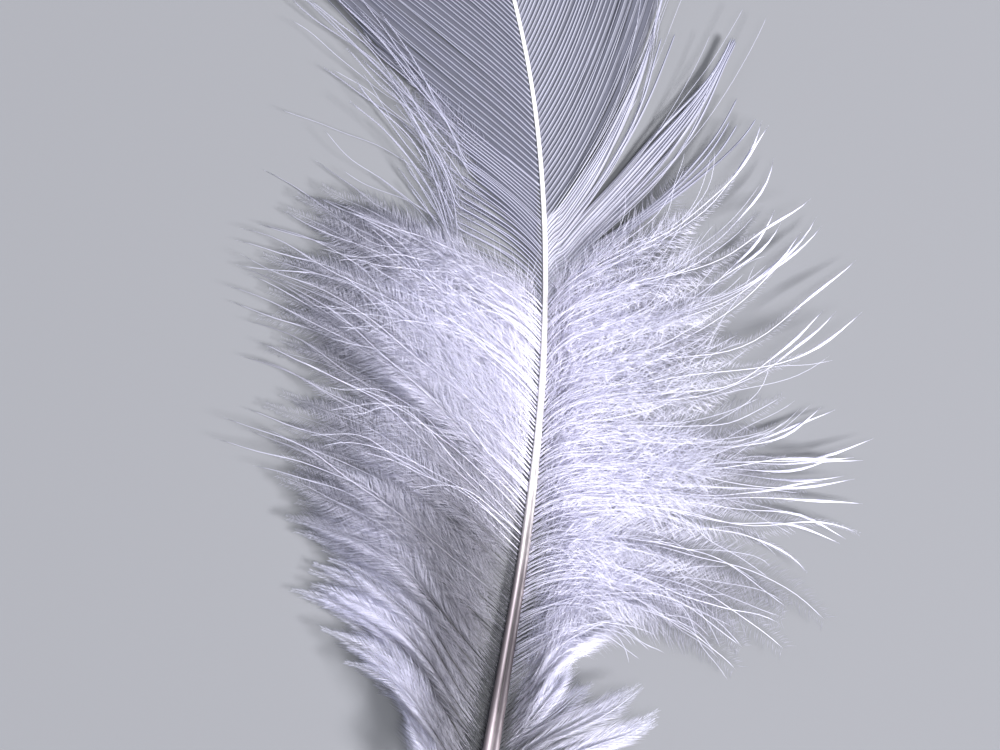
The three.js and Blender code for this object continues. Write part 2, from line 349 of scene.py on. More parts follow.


# name, colour at the root and at the tip, variation, mottle, roughness
# painted shade: the down's tip colour is darker than its root colour
downWhite = keratin("downWhite", (0.74, 0.73, 0.86), (0.61, 0.615, 0.76), 0.56, 0.06, 0.42)
# painted shade: the right loose strands are much darker than the down and darker towards their tips, and
# their webs darker still
strandWhite = keratin("strandWhite", (0.38, 0.385, 0.46), (0.32, 0.325, 0.42), 0.50, 0.08, 0.45)
strandShade = keratin("strandShade", (0.25, 0.25, 0.31), (0.16, 0.165, 0.22), 0.30, 0.20, 0.55)
looseWhite = keratin("looseWhite", (0.25, 0.252, 0.32), (0.40, 0.405, 0.52), 0.44, 0.08, 0.45)
# painted shade: lit and shaded copies of one keratin for the two sides of the vane, both far darker than the
# down and darker towards the tips
vaneRidgesShaded = {
    "left": keratin("vaneRidgesShadedLeft", (0.27, 0.275, 0.345), (0.17, 0.175, 0.23), 0.16, 0.08, 0.48),
    "right": keratin("vaneRidgesShadedRight", (0.26, 0.265, 0.33), (0.20, 0.205, 0.265), 0.16, 0.08, 0.48),
}
# painted shade: the webs are nearly black between the ridges, and the left webs are darker than the right
# ones
webShade = {
    "left": keratin("webShadeLeft", (0.054, 0.057, 0.084), (0.042, 0.045, 0.069), 0.30, 0.30, 0.60),
    "right": keratin("webShadeRight", (0.088, 0.092, 0.125), (0.080, 0.084, 0.116), 0.30, 0.30, 0.60),
}
shaftHorn = keratin("shaftHorn", (0.28, 0.24, 0.262), (0.90, 0.88, 0.86), 1.40, 0.06, 0.42)


# Shaft: the same outline as the solid's, with a groove between two rounded lips.
shaftLook = {
    "rings": 200, "corners": 48, "power": 2.6,
    "groove": 0.22, "grooveAt": (-0.12, 0.30), "grooveFrom": (-4, 6),
    # painted light and shade: the line of shade and the highlight band across the top, and the shade where
    # the down is deepest
    "grooveShade": (-0.06, 0.11), "highlightBand": (0.28, 0.16), "highlightAndShade": 0.5, "upper": (0.27, 0.40),
    "dark": (0.25, 0.07), "darkBy": 0.3,
}


def shaftStrands(look):
    # the outline is a rounded box at each station: radius by a superellipse in the angle, less a groove on
    # top that is a bell curve across it
    station = np.linspace(featherPlan["quillEnd"], featherPlan["shaftTip"], look["rings"] + 1)
    at = shaftAt(station)
    a = 2 * np.pi * (np.arange(look["corners"]) + 0.5) / look["corners"]
    c, s = -np.cos(a), np.sin(a)
    power = look["power"]
    size = (np.abs(c) ** power + np.abs(s) ** power) ** (-1 / power)
    across = (at["width"] / 2)[:, None] * size * c
    high = (at["depth"] / 2)[:, None] * (1 + size * s)
    grooveFrom, grooveFull = (featherPlan["downFrom"] + beyond for beyond in look["grooveFrom"])
    grooved = ease(station, grooveFrom, grooveFull)[:, None]
    place = c * size
    middle = bell(place, *look["grooveAt"]) * (s > 0)
    high = high - grooved * look["groove"] * at["depth"][:, None] * middle
    path = np.stack([at["x"], at["y"], at["back"]], -1)[None]
    outline = np.stack([across, high], -1)[None]
    points, faces, _ = carried(path, outline[:, :-1])
    along = alongRings(np.linspace(0, 1, look["rings"] + 1), look["corners"], 1)
    # painted light and shade: a brownish line of painted shade in the groove beside a bright band of painted
    # highlight: two bell curves across the top, fading out up the shaft
    grooveShade = bell(place, *look["grooveShade"]) * (s > 0)
    highlightBand = bell(place, *look["highlightBand"]) * (s > 0)
    highlightAndShade = np.concatenate([np.tile(look["highlightAndShade"] * highlightBand - look["highlightAndShade"] * grooveShade, look["rings"]), [0.0]])
    upper = ease(along, *look["upper"])
    # painted shade: the shaft is darkest where the down is deepest
    dark = look["darkBy"] * bell(along, *look["dark"])
    strands = Strands()
    strands.add(points, faces, upper, 0.5 + (highlightAndShade - dark) * (1 - upper))
    return strands


makePiece("shaft", shaftStrands(shaftLook), shaftHorn)


# Closed vane: each barb is a bright ridge with a thin web on both sides that reaches its neighbours.
vaneLook = {
    "spacing": 0.5, "nudge": 0.03, "steps": 24, "ridge": 0.062, "jitter": 0.6, "ownTurn": 0.3,
    "length": (0.96, 1.03), "webShare": 0.62, "webThick": 0.02, "webMost": 0.8, "webTip": (0.93, 1.0),
    "webTipLost": 0.85, "frayTo": (18.0, 14.0), "frayFrom": (0.62, 0.9), "frayEnd": 1.05,
    "frayNudge": (-0.08, 0.02), "frayOver": 0.35, "frayTurn": (4.0, 2.0), "frayRise": 0.9, "frayWeb": 0.14,
    "frayWebLost": 0.88,
}

# what the ridges and webs of the vane and of the loose barbs share
ribLook = {"corners": 5, "flat": 1.1, "lift": 0.03, "sag": -0.03, "taper": 0.72, "taperPower": 1.3}


def ridgesAndWebs(path, half, look, tone, ridges, webs):
    # a ridge with five sides along each path, thinner by a power of the way along it, and under it a web as
    # wide as half on both sides, a little lower at its edges than in the middle
    count, steps = path.shape[:2]
    u = np.linspace(0, 1, steps)
    corners = ribLook["corners"]
    radius = look["ridge"] * (1 - ribLook["taper"] * u[None] ** ribLook["taperPower"]) * np.ones((count, 1))
    outline = roundOutline(radius, corners, ribLook["flat"])
    points, faces, each = carried(path + np.array([0, 0, ribLook["lift"]]), outline[:, :-1])
    ridges.add(points, faces, alongRings(u, corners, count), np.repeat(tone, each))
    thick = np.full_like(half, look["webThick"])
    sag = np.full_like(half, ribLook["sag"])
    none = np.zeros_like(half)
    rim = ((none, thick), (half, sag), (none, -thick), (-half, sag))
    outline = np.stack([np.stack(corner, -1) for corner in rim], 2)
    points, faces, each = carried(path, outline[:, :-1])
    webs.add(points, faces, alongRings(u, len(rim), count), np.repeat(tone, each))


def vaneStrands(side, look):
    # below frayTo the outer part of a barb has no web and wanders off on its own
    pick = 0 if side < 0 else 1
    vaneFrom, cup = featherPlan["vaneFrom"][pick], featherPlan["cup"][pick]
    frayTo, frayFrom, frayTurn = (look[name][pick] for name in ("frayTo", "frayFrom", "frayTurn"))
    station = np.arange(vaneFrom, featherPlan["vaneTo"], look["spacing"])
    count, steps = len(station), look["steps"]
    station = station + rng.uniform(-look["nudge"], look["nudge"], count)
    u = np.linspace(0, 1, steps)
    whole = ease(station, vaneFrom, frayTo)
    fray = (blend(frayFrom, look["frayEnd"], whole) + rng.uniform(*look["frayNudge"], count))[:, None]
    loose = ease(u[None], fray, fray + look["frayOver"])
    turn = wander(count, steps, look["jitter"]) + rng.normal(0, look["ownTurn"], (count, 1))
    turn = turn + loose * (rng.normal(0, frayTurn, (count, 1)) + wander(count, steps, frayTurn))
    rise = cup * u[None] ** 2 + loose * rng.uniform(0, look["frayRise"], (count, 1))
    path = barbPaths(side, station, steps, rng.uniform(*look["length"], count), turn, rise)
    # the next barb's path tells how wide the web is at each step
    forward = unit(np.gradient(path, axis=1))
    gap = np.abs(np.cross(forward[:-1], np.diff(path, axis=0))[..., 2])
    half = np.minimum(np.concatenate([gap, gap[-1:]]) * look["webShare"], look["webMost"])
    half = half * (1 - look["webTipLost"] * ease(u, *look["webTip"]))
    half = half * (1 - look["frayWebLost"] * ease(u[None], fray, fray + look["frayWeb"]))
    ridges, webs = Strands(), Strands()
    ridgesAndWebs(path, half, look, rng.uniform(0, 1, count), ridges, webs)
    return ridges, webs


for side, label in ((-1, "left"), (1, "right")):
    ridges, webs = vaneStrands(side, vaneLook)
    makePiece("vane_ridges_" + label, ridges, vaneRidgesShaded[label])
    makePiece("vane_webs_" + label, webs, webShade[label], smooth=False)


# how much single barbules differ, as shares of what each piece asks for; angles in degrees
barbuleLook = {
    "place": (0.2, 0.8), "length": (0.7, 1.2), "width": (0.7, 1.3), "bend": (0.2, 1.8), "bendAt": 60,
    "roll": 6, "angle": 0.07, "corners": 3, "lowest": 0.02,
}


def barbules(path, look, strands, toneAt, lengthAt, angleAt, looseAt):
    # on both sides of each barb, a bent spindle leaves the stalk at the angle given in degrees; looseness
    # spreads the angle and the roll round the stalk, and 0 keeps both sides flat and even
    differ = barbuleLook
    forward, left, up = framesAlong(path)
    lengths = np.linalg.norm(np.diff(path, axis=1), axis=2).sum(1)
    number = np.maximum((lengths / look["barbuleSpacing"]).astype(int), 2) * 2
    barb = np.repeat(np.arange(len(path)), number)
    order = np.arange(len(barb)) - np.repeat(np.cumsum(number) - number, number)
    sideSign = np.where(order % 2 == 0, 1.0, -1.0)[:, None]
    share = (order // 2 + rng.uniform(*differ["place"], len(order))) / (number[barb] / 2)
    u = share ** look["crowding"]
    place = u * (path.shape[1] - 1)
    low = np.minimum(place.astype(int), path.shape[1] - 2)
    part = (place - low)[:, None]

    def at(values):
        return values[barb, low] * (1 - part) + values[barb, low + 1] * part

    start, f, l, w = at(path), unit(at(forward)), unit(at(left)), unit(at(up))
    loose = looseAt(u, barb)
    roll = np.radians(rng.normal(0, 1, len(u)) * (differ["roll"] + look["fluff"] * loose))[:, None]
    outwards = l * sideSign * np.cos(roll) + w * np.sin(roll)
    mean = angleAt(u, barb)
    angle = mean + rng.normal(0, 1, len(u)) * (differ["angle"] * mean + look["scatter"] * loose)
    angle = np.radians(angle)[:, None]
    less = look["bend"] * rng.uniform(*differ["bend"], len(u)) * mean / differ["bendAt"]
    bend = angle - np.radians(less)[:, None]
    size = (lengthAt(u, barb) * rng.uniform(*differ["length"], len(u)))[:, None]
    knee = start + (f * np.cos(angle) + outwards * np.sin(angle)) * size * 0.5
    tip = knee + (f * np.cos(bend) + outwards * np.sin(bend)) * size * 0.5
    thick = look["barbuleWidth"] * rng.uniform(*differ["width"], len(u))
    strands.add(*spindles(start, knee, tip, thick), np.repeat(u, 5), np.repeat(toneAt(u, barb), 5))


def spindles(start, knee, tip, radius):
    # a thin spindle: a point at the start, three corners round the knee and a point at the tip
    axis = unit(tip - start)
    side = unit(np.cross(axis, np.array([0.3, 0.2, 0.93])))
    top = np.cross(axis, side)
    a = 2 * np.pi * np.arange(barbuleLook["corners"]) / barbuleLook["corners"]
    ring = knee[:, None] + radius[:, None, None] * (side[:, None] * np.cos(a)[None, :, None]
                                                    + top[:, None] * np.sin(a)[None, :, None])
    points = np.concatenate([start[:, None], ring, tip[:, None]], 1)
    points[..., 2] = np.maximum(points[..., 2], barbuleLook["lowest"])
    faces = np.array([(0, 2, 1), (0, 3, 2), (0, 1, 3), (1, 2, 4), (2, 3, 4), (3, 1, 4)])
    shift = (np.arange(len(start)) * 5)[:, None, None]
    return points.reshape(-1, 3), [(faces[None] + shift).reshape(-1, 3)]


def stalks(path, radius, tone, strands, corners=4, flat=1.0):
    # a round thread along each path, as thick as radius and as bright as tone at each point
    points, faces, _ = carried(path, roundOutline(radius, corners, flat)[:, :-1])
    along = alongRings(np.linspace(0, 1, path.shape[1]), corners, len(path))
    tone = np.broadcast_to(tone, path.shape[:2])
    tone = np.concatenate([np.repeat(tone[:, :-1], corners, 1), tone[:, -1:]], 1).ravel()
    strands.add(points, faces, along, tone)


strayShape = {"turnSets": (0.1, 0.95), "taper": 0.5}


def addStrays(side, look, stationFrom, stationTo, count, strands):
    # single barbs that leave their neighbours: each turns away evenly over its length and wanders a little;
    # its height above its root grows as a power of the way along it
    steps = look["steps"]
    u = np.linspace(0, 1, steps)
    station = np.sort(rng.uniform(stationFrom, stationTo, count))
    turn = rng.uniform(*look["strayTurn"], (count, 1)) * ease(u, *strayShape["turnSets"])
    turn = turn + wander(count, steps, look["strayWave"])
    rise = rng.uniform(*look["strayRise"], (count, 1)) * u ** look["strayLift"]
    length = rng.uniform(*look["strayLength"], count)
    path = barbPaths(side, station, steps, length, turn, rise, featherPlan["besideShaft"])
    radius = look["stray"] * (1 - strayShape["taper"] * u) * np.ones((count, 1))
    stalks(path, radius, rng.uniform(*look["strayTone"], (count, 1)), strands)


# Down: each barb is a fine stalk with soft barbules standing off both sides of it. Some barbs run on past the
# others, on the right as bright blades and on the left as bare threads that fade; the blades are partly
# brightened by a painted highlight, and the threads' fading is painted shade.
# painted light and shade in each look: glow and glowAt place a pool of painted light by the shaft, silkLight
# and laidLight paint light on the silky tufts and on laid tips, and dim, dimBelow, stalkDim, tipDim and
# outerDim paint shade
downLook = {
    "left": {
        "spacing": 0.34, "steps": 24, "stalk": 0.036,
        "clump": 5, "clumpTurn": 2.0, "ownTurn": 3.6, "wave": 6.5,
        "barbuleSpacing": 0.097, "crowding": 1.35, "barbuleLength": 3.0, "barbuleWidth": 0.0135,
        "rootAngle": 24.0, "tipAngle": 54.0, "bend": 16.0, "fluff": 50.0, "scatter": 16.0,
        "arch": 4.4, "skew": 0.85, "tipLift": 1.6, "layTogether": 0.35, "gather": (0.3, 0.36),
        "short": (0.62, 0.92), "long": (0.88, 1.05), "longShare": 0.46, "longAbove": (-26.0, -18.0),
        "longTurn": (-4.0, 5.0), "seeThrough": 0.3, "bladeAbove": (-40.0, -39.0), "spindle": 0.02,
        "spindleAt": 0.86, "laidFrom": 0.76, "laidLength": 0.3, "laidAngle": 8.0, "laidLight": 0.1,
        "bare": (0.8, 1.6), "bareBelow": (-18.0, -9.0), "tangle": 0.9, "tangleFrom": (-11.0, -4.0),
        "silk": 0.5, "silkBelow": (-31.0, -19.0), "silkLength": (0.72, 1.02), "silkLight": 0.3,
        "shine": (0.1, 0.9), "stalkDim": 0.5, "tipDim": 0.9, "outerDim": 0.7,
        "dim": 1.1, "dimBelow": (-19.0, -8.0), "glow": 0.2, "glowAt": (-1.0, 5.0),
        "strays": 3.0, "straysAbove": -15.0, "strayTurn": (-32.0, 32.0), "strayRise": (3.6, 5.4),
        "strayLength": (0.30, 0.80), "strayLift": 0.5, "strayWave": 15.0, "stray": 0.026,
        "strayTone": (0.5, 1.15),
    },
    "right": {
        "spacing": 0.34, "steps": 26, "stalk": 0.036,
        "clump": 4, "clumpTurn": 3.0, "ownTurn": 4.5, "wave": 7.0,
        "barbuleSpacing": 0.097, "crowding": 1.75, "barbuleLength": 2.7, "barbuleWidth": 0.0135,
        "rootAngle": 34.0, "tipAngle": 64.0, "bend": 16.0, "fluff": 55.0, "scatter": 22.0,
        "arch": 4.6, "skew": 1.35, "tipLift": 2.4, "layTogether": 0.4, "gather": (0.2, 0.75),
        "short": (0.38, 0.84), "long": (0.88, 1.06), "longShare": 0.42, "longAbove": (-25.0, -21.0),
        "longTurn": (-18.0, 6.0), "seeThrough": 0.25, "bladeAbove": (-15.5, -12.0), "spindle": 0.12,
        "spindleAt": 0.86, "laidFrom": 0.74, "laidLength": 0.5, "laidAngle": 5.0, "laidLight": 0.7,
        "bare": (0.75, 1.5), "bareBelow": (-18.0, -10.0), "tangle": 0.8, "tangleFrom": (-16.0, -10.0),
        "silk": 0.36, "silkBelow": (-28.0, -24.0), "silkLength": (0.72, 1.04), "silkLight": 0.0,
        "shine": (0.3, 0.95), "stalkDim": 0.0, "tipDim": 0.0, "outerDim": 1.0,
        "dim": 0.7, "dimBelow": (-28.0, -21.0), "glow": 0.8, "glowAt": (-13.0, 16.0),
        "strays": 3.2, "straysAbove": -24.0, "strayTurn": (-38.0, 30.0), "strayRise": (3.6, 5.6),
        "strayLength": (0.36, 0.90), "strayLift": 0.5, "strayWave": 14.0, "stray": 0.028,
        "strayTone": (0.45, 1.1),
    },
}

# What both sides of the down share. A name with sets or ends gives the two ways along a barb, 0 at the shaft
# and 1 at the tip, between which something sets in or ends.
# silkDim and rootDim paint shade on the stalks, and the dim, glow, outerDim, silkLight and tipDim sets and
# ends bound painted shade and light along each barb
downShape = {
    "nudge": 0.05, "settle": 0.12, "lowest": 0.06, "tone": 0.22, "clumpTone": 0.38, "ownTone": 0.34,
    "clumpTurnSets": (0.1, 0.8), "ownTurnSets": (0.05, 0.5), "longTurnSets": (0.4, 1.0),
    "gatherSets": (0.05, 0.8), "spindleSpread": 0.07, "taper": 0.55, "longStalk": 0.25,
    "stalkCorners": 5, "stalkFlat": 0.6, "silkDim": 0.6, "innerDimEnds": (0.3, 0.7),
    "stalkDimSets": (0.06, 0.2), "stalkDimEnds": (0.35, 0.75), "rootDim": 0.9, "rootDimBelow": (-16, -7),
    "rootDimEnds": (0.03, 0.16), "tipDimSets": (0.62, 0.95), "laidSets": (-0.04, 0.08),
    "fluffSets": (0.6, 1.7), "fluffOver": 0.4, "fluffLeast": 0.06,
    "thinner": 0.40, "thinnerSets": (0.45, 1.0),
    "seeThroughSets": (0.42, 0.62), "laidTaper": 0.8, "laidTaperSets": (0.84, 1.0), "tipShorter": 0.75,
    "plumeLonger": 0.35, "tipSets": (0.72, 1.0), "angleSets": (0.22, 0.62), "looseSets": (0.02, 0.10),
    "looseLost": 0.94, "looseEnds": (0.32, 0.60), "looseLeast": 0.4, "silkCalm": 1.5,
    "glowEnds": (0.25, 0.65), "dimEnds": (0.25, 0.60), "outerDimSets": (0.45, 0.8),
    "silkLightSets": (0.35, 0.75),
}


def downStrands(side, stationFrom, stationTo, look):
    # each barb follows its path, turned with its clump and by itself, and arches up by a sine of a power of
    # the way along it; a barb that lies high in its clump arches most
    shape = downShape
    station = np.arange(stationFrom, stationTo, look["spacing"])
    count, steps = len(station), look["steps"]
    station = station + rng.uniform(-shape["nudge"], shape["nudge"], count)
    clumps = count // look["clump"] + 2
    clump = np.clip((np.arange(count) + rng.integers(-1, 2, count)) // look["clump"], 0, clumps - 1)
    u = np.linspace(0, 1, steps)
    longer = rng.uniform(0, 1, count) < look["longShare"] * ease(station, *look["longAbove"])
    length = np.where(longer, rng.uniform(*look["long"], count), rng.uniform(*look["short"], count))
    silky = 1 - ease(station, *look["silkBelow"])
    length = length + (rng.uniform(*look["silkLength"], count) - length) * silky
    turn = rng.normal(0, look["clumpTurn"], clumps)[clump][:, None] * ease(u, *shape["clumpTurnSets"])
    turn = turn + rng.normal(0, look["ownTurn"], (count, 1)) * ease(u, *shape["ownTurnSets"])
    turn = turn + wander(count, steps, look["wave"])
    longTurn = rng.uniform(*look["longTurn"], count) * longer
    turn = turn + longTurn[:, None] * ease(u, *shape["longTurnSets"])
    together = look["layTogether"]
    lay = (rng.uniform(0, 1, clumps)[clump] * together + rng.uniform(0, 1 - together, count))[:, None]
    root = shaftAt(station)
    attach = (root["back"] + 0.5 * root["depth"])[:, None]
    arch = look["arch"] * lay * np.sin(np.pi * u ** look["skew"]) + look["tipLift"] * lay * u
    settle = (shape["settle"] - attach) * u * (1 - lay)
    path = barbPaths(side, station, steps, length, turn, arch + settle, featherPlan["besideShaft"])
    # neighbours draw together into tufts: each path moves a share of the way to the middle of its clump
    size = np.maximum(np.bincount(clump, minlength=clumps), 1)[:, None, None]
    middle = np.zeros((clumps, steps, 3))
    np.add.at(middle, clump, path)
    gather = blend(*look["gather"], silky)
    share = (gather * ~longer)[:, None, None] * ease(u, *shape["gatherSets"])[None, :, None]
    path = path + ((middle / size)[clump] - path) * share
    path[..., 2] = np.maximum(path[..., 2], shape["lowest"])
    # painted shade: barbs below dimBelow are darker over their inner part, stalks and barbules both
    dim = look["dim"] * (1 - ease(station, *look["dimBelow"]))
    tone = shape["tone"] + rng.uniform(0, shape["clumpTone"], clumps)[clump]
    tone = tone + rng.uniform(0, shape["ownTone"], count)
    strands = Strands()
    # the stalk is darker at its root by painted shade, and on the long barbs it swells into a smooth spindle
    # before the tip
    blade = longer * ease(station, *look["bladeAbove"])
    swell = look["spindle"] * blade[:, None] * bell(u, look["spindleAt"], shape["spindleSpread"])
    thick = look["stalk"] * (1 - shape["taper"] * u[None]) * (1 + shape["longStalk"] * longer)[:, None]
    # painted shade on the stalks: their random shine is darkened over the inner part of the lower and silky
    # barbs, in a band along their inner part, at the root towards the quill and towards the tip
    shine = rng.uniform(*look["shine"], (count, 1))
    shine = shine - (dim + shape["silkDim"] * silky)[:, None] * (1 - ease(u, *shape["innerDimEnds"]))
    shine = shine - look["stalkDim"] * ease(u, *shape["stalkDimSets"]) * (1 - ease(u, *shape["stalkDimEnds"]))
    rootDim = shape["rootDim"] * (1 - ease(station, *shape["rootDimBelow"]))
    shine = shine - rootDim[:, None] * (1 - ease(u, *shape["rootDimEnds"]))
    shine = shine - look["tipDim"] * ease(u, *shape["tipDimSets"])
    stalks(path, thick + swell, shine, strands, shape["stalkCorners"], shape["stalkFlat"])
    full = fromTable(barbTables[side], station)[:, 0] * length
    bare = blend(*look["bare"], 1 - ease(station, *look["bareBelow"]))
    silk = 1 - (1 - look["silk"]) * silky
    tangled = ease(station, *look["tangleFrom"])

    def laid(v, barb):
        # 1 where the barbules of a long barb lie close along it
        sets = shape["laidSets"]
        return blade[barb] * ease(v, look["laidFrom"] + sets[0], look["laidFrom"] + sets[1])

    def lengthAt(v, barb):
        # none by the shaft, longest before the middle, thinned out on the long barbs; at their tips the laid
        # barbules make a spindle that tapers to a point
        fromHere, fullHere = (bare[barb] * times for times in shape["fluffSets"])
        fluffy = ease(v * full[barb], fromHere, fullHere + shape["fluffOver"])
        fluffy = fluffy * (1 - shape["thinner"] * ease(v, *shape["thinnerSets"]))
        thinned = blade[barb] * (1 - look["seeThrough"]) * ease(v, *shape["seeThroughSets"])
        fluffy = shape["fluffLeast"] + fluffy * (1 - thinned)
        spindle = look["laidLength"] * (1 - shape["laidTaper"] * ease(v, *shape["laidTaperSets"]))
        share = laid(v, barb)
        plume = longer[barb] * (1 - blade[barb])
        tip = 1 - (shape["tipShorter"] - shape["plumeLonger"] * plume) * ease(v, *shape["tipSets"])
        return look["barbuleLength"] * fluffy * tip * (1 - share) + spindle * share

    def angleAt(v, barb):
        # from the root angle to the tip angle, less in the silky tufts, and nearly along the barb where laid
        angle = blend(look["rootAngle"], look["tipAngle"], ease(v, *shape["angleSets"])) * silk[barb]
        share = laid(v, barb)
        return angle * (1 - share) + look["laidAngle"] * share

    def looseAt(v, barb):
        # most in the inner third of the barbs that tangle
        inner = ease(v, *shape["looseSets"]) * (1 - shape["looseLost"] * ease(v, *shape["looseEnds"]))
        inner = inner * (shape["looseLeast"] + look["tangle"] * tangled[barb])
        return inner * silk[barb] ** shape["silkCalm"]

    def toneAt(v, barb):
        # painted light and shade: a bright patch of painted light by the shaft, a bell curve along it, and
        # painted light on the outer part of the silky tufts, less the painted shade over the inner part of
        # the lower barbs and the outer part of the others, and a painted highlight on laid tips
        patch = look["glow"] * bell(station[barb], *look["glowAt"]) * (1 - ease(v, *shape["glowEnds"]))
        lit = look["silkLight"] * silky[barb] * ease(v, *shape["silkLightSets"])
        outer = look["outerDim"] * (1 - silky[barb]) * ease(v, *shape["outerDimSets"])
        shade = dim[barb] * (1 - ease(v, *shape["dimEnds"])) + outer
        return np.minimum(tone[barb] + patch + lit, 1.0) - shade + look["laidLight"] * laid(v, barb)

    barbules(path, look, strands, toneAt, lengthAt, angleAt, looseAt)
    # stray threads lie over the down, so many to a millimetre of the shaft
    low = max(stationFrom, look["straysAbove"])
    if stationTo > low:
        addStrays(side, look, low, stationTo, int((stationTo - low) * look["strays"]), strands)
    return strands


def downPieces(side, label, ends):
    # one piece between each two of the stations in ends
    for number in range(len(ends) - 1):
        name = "down_" + label + "_" + str(number + 1)
        makePiece(name, downStrands(side, ends[number], ends[number + 1], downLook[label]), downWhite)


# the stations that part the pieces on each side
downEnds = {"left": (-37.5, -23.0, -8.5, 5.0), "right": (-37.5, -23.0, -9.5, 5.2)}
downPieces(-1, "left", downEnds["left"])
downPieces(1, "right", downEnds["right"])


# Loose barbs between the down and the vane. On the left they are creased part way along and turn up; on the
# right neighbours lie together in tapering strands.
looseLook = {
    "left": {
        "from": 2.6, "to": 14.5, "spacing": 0.36, "steps": 34, "length": (0.66, 1.06),
        "crease": (7.8, 9.4), "creaseOver": 0.025,
        "turn": ((2.6, 10.8, 12.6, 14.5), (52.0, 26.0, 8.0, 3.0)), "turnSpread": 9.0,
        "leanBack": 0.45, "leanSets": (0.06, 0.6), "wave": 7.0, "waveSets": (0.0, 0.4),
        "lift": (0.4, 2.2), "liftSets": (0.1, 0.9), "liftPower": 0.8, "tone": (0.3, 1.0),
        "barbuleSpacing": 0.17, "crowding": 0.8, "barbuleLength": 1.3, "barbuleWidth": 0.012,
        "rootAngle": 50.0, "tipAngle": 30.0, "bend": 18.0, "fluff": 30.0, "scatter": 16.0,
        "fluffLeast": 0.08, "fluffSets": (0.26, 0.42), "fluffLost": 0.92, "fluffEnds": (0.45, 0.7),
        "loose": 0.5, "looseSets": (0.2, 0.5),
        "ridge": 0.055, "web": 0.2, "webThick": 0.02, "webLost": 0.97, "webEnds": 0.06, "webRoot": 0.05,
        "webLeast": 0.002,
        "strays": 12, "strayAt": (3.0, 12.5), "strayTurn": (-34.0, 4.0), "strayRise": (0.8, 2.6),
        "strayLength": (0.70, 1.0), "strayLift": 1.0, "strayWave": 7.0, "stray": 0.036,
        "strayTone": (0.4, 1.0),
    },
    "right": {
        # station from, to, how far they draw together, length, and how far they part again towards the tip
        "groups": ((5.3, 6.3, 0.75, 1.02, 0.7), (6.3, 9.1, 0.34, 1.02, 0.0),
                   (9.3, 9.8, 0.5, 0.98, 0.5), (10.0, 11.9, 0.45, 1.0, 0.0)),
        "spacing": 0.33, "steps": 60, "shortest": 0.72,
        "wave": 2.4, "ownTurn": 1.8, "ownTurnSets": (0.3, 1.0),
        "kink": 24.0, "kinkShare": (0.6, 1.2), "kinkAt": (0.035, 0.075), "kinkOver": 0.015,
        "rise": 1.5, "riseShare": (0.5, 0.5), "ownRise": 0.25,
        "closeSets": (0.02, 0.5), "partSets": (0.5, 1.0), "meet": 0.9, "meetSets": (0.4, 0.95),
        "ridge": 0.058, "web": 0.2, "webTaper": 0.7, "webThick": 0.02, "tone": (0.4, 1.0),
        "strays": 13, "strayAt": (5.0, 11.8), "strayTurn": (-16.0, 9.0), "strayRise": (0.3, 2.4),
        "strayLength": (0.80, 1.05), "strayLift": 1.0, "strayWave": 2.4, "stray": 0.04,
        "strayTone": (0.4, 1.0),
    },
}


def creasedStrands(look):
    # the whole turn happens within a twentieth of the barb's length at its crease, and beyond it the barb
    # leans part of the way back; its height grows as a power of the way along it
    station = np.arange(look["from"], look["to"], look["spacing"])
    count, steps = len(station), look["steps"]
    u = np.linspace(0, 1, steps)
    length = rng.uniform(*look["length"], count)
    base = fromTable(leftBarbs, station)[:, 0] * length
    at = (rng.uniform(*look["crease"], count) / base)[:, None]
    beyond = u[None] - at
    sharp = (np.interp(station, *look["turn"]) + rng.normal(0, look["turnSpread"], count))[:, None]
    over = look["creaseOver"]
    turn = -sharp * (ease(beyond, -over, over) - look["leanBack"] * ease(beyond, *look["leanSets"]))
    turn = turn + wander(count, steps, look["wave"]) * ease(beyond, *look["waveSets"])
    least, most = look["lift"]
    lift = least + most * rng.uniform(0, 1, (count, 1)) * ease(u, *look["liftSets"])
    rise = lift * u ** look["liftPower"]
    path = barbPaths(-1, station, steps, length, turn, rise, featherPlan["besideShaft"])
    tone = rng.uniform(*look["tone"], count)
    strands, webs = Strands(), Strands()
    # up to the crease neighbours still hold together by a web, a little less of it towards the quill
    held = look["web"] * ease(station, look["from"], look["to"])[:, None]
    held = held * (1 - look["webLost"] * ease(u[None], at - look["webEnds"], at))
    held = held * ease(u, 0.0, look["webRoot"]) + look["webLeast"]
    ridgesAndWebs(path, held, look, tone, strands, webs)

    def lengthAt(v, barb):
        # almost none before the crease, longest just after it, then short
        longest = ease(v, *look["fluffSets"]) * (1 - look["fluffLost"] * ease(v, *look["fluffEnds"]))
        return look["barbuleLength"] * (look["fluffLeast"] + longest)

    barbules(path, look, strands, lambda v, barb: tone[barb], lengthAt,
             lambda v, barb: blend(look["rootAngle"], look["tipAngle"], v),
             lambda v, barb: look["loose"] * ease(v, *look["looseSets"]))
    addStrays(-1, look, *look["strayAt"], look["strays"], strands)
    return strands, webs


